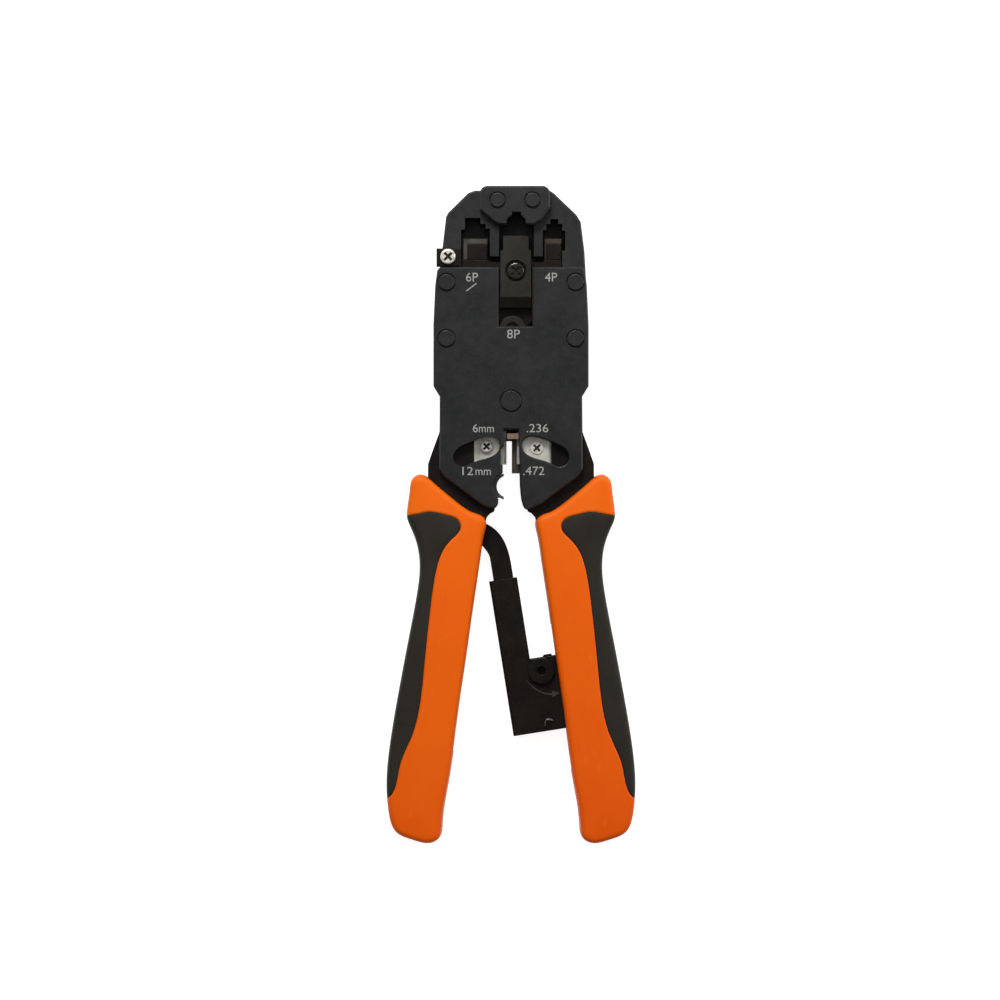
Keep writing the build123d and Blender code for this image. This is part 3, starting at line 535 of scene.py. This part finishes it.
def text_mesh(text, across, up):
    """A word as a flat mesh stretched to the box (left, right) by (bottom, top)."""
    curve = bpy.data.curves.new("label", "FONT")
    curve.body = text
    curve.extrude = 0.5
    curve.resolution_u = 4
    obj = bpy.data.objects.new("label", curve)
    scene.collection.objects.link(obj)
    graph = bpy.context.evaluated_depsgraph_get()
    mesh = bpy.data.meshes.new_from_object(obj.evaluated_get(graph))
    co = np.array([v.co for v in mesh.vertices])
    faces = [tuple(f.vertices) for f in mesh.polygons]
    bpy.data.objects.remove(obj)
    low, high = co.min(axis=0), co.max(axis=0)
    target_low = np.array([across[0], up[0], PLATE_FACE - MARK_THICK])
    target_high = np.array([across[1], up[1], PLATE_FACE + MARK_THICK])
    return target_low + (co - low) / (high - low) * (target_high - target_low), faces


def flat_mark(outline, face_z):
    """A thin plate with the given outline, for a printed line or arrow."""
    n = len(outline)
    points = [(x, y, z) for z in (face_z - MARK_THICK, face_z + MARK_THICK) for x, y in outline]
    area = sum(a[0] * b[1] - b[0] * a[1] for a, b in zip(outline, outline[1:] + outline[:1]))
    faces = [tuple(range(n, 2 * n)), tuple(reversed(range(n)))]
    faces += [(i, (i + 1) % n, n + (i + 1) % n, n + i) for i in range(n)]
    if area < 0:
        faces = [tuple(reversed(f)) for f in faces]
    return np.array(points), faces


def joined(parts):
    """Several (points, faces) pairs as one."""
    points, faces = [], []
    for more_points, more_faces in parts:
        start = len(points)
        points.extend(tuple(q) for q in more_points)
        faces.extend(tuple(start + i for i in f) for f in more_faces)
    return points, faces


def tube(line, radius, sides=10):
    """A round wire along a line of 3D points, with closed ends."""
    points, faces = [], []
    run = np.gradient(line, axis=0)
    run /= np.linalg.norm(run, axis=1)[:, None]
    for place, way in zip(line, run):
        side = np.cross(way, (0, 0, 1.0))
        side /= np.linalg.norm(side)
        up = np.cross(side, way)
        for k in range(sides):
            turn = 2 * math.pi * k / sides
            points.append(place + radius * (math.cos(turn) * side + math.sin(turn) * up))
    for i in range(len(line) - 1):
        for k in range(sides):
            a, b = i * sides + k, i * sides + (k + 1) % sides
            faces.append((a, b, b + sides, a + sides))
    faces.append(tuple(reversed(range(sides))))
    faces.append(tuple(range(len(points) - sides, len(points))))
    return points, faces


def marks():
    """The scales on the head plate and the arrow beside the release head."""
    words = [text_mesh(*label) for label in LABELS] + [flat_mark(SLASH, PLATE_FACE)]
    plate = piece("plate_scale_marks", *joined(words), "head_frame", "bright_screw")
    line = smooth_curve(ARROW_LINE, False, 0.4)
    across = normals_of(line, False)
    width = np.linspace(*ARROW_WIDTH, len(line))[:, None] / 2
    stroke = (line + width * across).tolist() + (line - width * across)[::-1].tolist()
    arrow = joined([flat_mark(stroke, HOUSING_FACE), flat_mark(ARROW_HEAD, HOUSING_FACE)])
    turn = piece("release_arrow_mark", *arrow, "housing", "bright_screw")
    for obj, look in ((plate, "plate"), (turn, "housing")):
        obj.data.materials[0] = MARK_LOOKS[look]


MARK_LOOKS = {
    "plate": laser_mark("plate_laser_mark", (0.30, 0.30, 0.285), (0.22, 0.22, 0.21)),
    "housing": laser_mark("housing_laser_mark", (0.045, 0.042, 0.036), (0.022, 0.02, 0.017)),
}
marks()
piece("pawl_spring_hook", *tube(smooth_curve(HOOK, False, 0.25), HOOK_R), "housing", "spring_steel")

# ---------------------------------------------------------------- camera, light and floor
CAMERA_AIM = (-0.0036, 0.00475)
AIM_HEIGHT = 0.0166
CAMERA_DISTANCE = 1.4
FRAME_WIDTH = 0.32774

camera = bpy.data.objects.new("camera", bpy.data.cameras.new("camera"))
camera.data.sensor_width = 36.0
camera.data.lens = camera.data.sensor_width * CAMERA_DISTANCE / FRAME_WIDTH
camera.data.clip_start = 0.01
camera.location = (*CAMERA_AIM, AIM_HEIGHT + CAMERA_DISTANCE)
scene.collection.objects.link(camera)
scene.camera = camera


def area_light(name, place, aim, size, watts, glossy=True):
    """A round softbox, size metres across, that the camera doesn't see."""
    light = bpy.data.lights.new(name, "AREA")
    light.shape = "DISK"
    light.size = size
    light.energy = watts
    obj = bpy.data.objects.new(name, light)
    obj.location = place
    obj.rotation_euler = (Vector(aim) - Vector(place)).to_track_quat("-Z", "Y").to_euler()
    obj.visible_camera = False
    obj.visible_glossy = glossy
    scene.collection.objects.link(obj)


area_light("key_softbox", (-0.15, 0.75, 0.75), (0, 0.03, 0), 0.42, 10.0)
area_light("right_softbox", (0.95, 0.25, 0.55), (0, 0, 0), 0.45, 4.0)
area_light("top_softbox", (0.0, 0.2, 1.2), (0, 0, 0), 0.6, 5.0, glossy=False)
ROOM_UP = (0.05, 0.80, -0.45)
ROOM_TONES = ((0.10, 0.06), (0.42, 0.20), (0.62, 0.42), (0.95, 0.95))
ROOM_STRENGTH = 0.8


def studio_room():
    """Soft light from a pale room: bright beyond the head, darker overhead and behind the handles."""
    world = bpy.data.worlds.new("studio")
    world.use_nodes = True
    tree = world.node_tree
    way = tree.nodes.new("ShaderNodeTexCoord").outputs["Generated"]
    lean = tree.nodes.new("ShaderNodeVectorMath")
    lean.operation = "DOT_PRODUCT"
    lean.inputs[1].default_value = ROOM_UP
    tree.links.new(way, lean.inputs[0])
    share = tree.nodes.new("ShaderNodeMapRange")
    share.inputs["From Min"].default_value = -1.0
    tree.links.new(lean.outputs["Value"], share.inputs["Value"])
    ramp = tree.nodes.new("ShaderNodeValToRGB")
    while len(ramp.color_ramp.elements) < len(ROOM_TONES):
        ramp.color_ramp.elements.new(0.5)
    for element, (position, tone) in zip(ramp.color_ramp.elements, ROOM_TONES):
        element.position = position
        element.color = (tone, tone, tone, 1.0)
    tree.links.new(share.outputs["Result"], ramp.inputs[0])
    tree.links.new(ramp.outputs["Color"], tree.nodes["Background"].inputs["Color"])
    tree.nodes["Background"].inputs["Strength"].default_value = ROOM_STRENGTH
    scene.world = world


studio_room()
scene.view_settings.view_transform = "Standard"

FLOOR_GLOW = 0.90
FLOOR_HALF, FLOOR_DROP = 3.0, 0.0002


def floor_sheet():
    """The plain pale floor, lit from within so that it stays white under the tool."""
    corners = [(x * FLOOR_HALF, y * FLOOR_HALF, 0) for x, y in ((-1, -1), (1, -1), (1, 1), (-1, 1))]
    mesh = bpy.data.meshes.new("floor")
    mesh.from_pydata(corners, [], [(0, 1, 2, 3)])
    look = Look("floor_light_table")
    pale = look.mix(look.band(look.noise(6, 3.0), 0.3, 0.7), (0.40, 0.40, 0.40), (0.385, 0.385, 0.385))
    mesh.materials.append(look.finish(pale, look.uneven(40, 2.0, 0.75, 0.85)))
    look.shader.inputs["Emission Color"].default_value = (1.0, 1.0, 1.0, 1.0)
    look.shader.inputs["Emission Strength"].default_value = FLOOR_GLOW
    obj = bpy.data.objects.new("floor", mesh)
    obj.location.z = -FLOOR_DROP
    scene.collection.objects.link(obj)


floor_sheet()
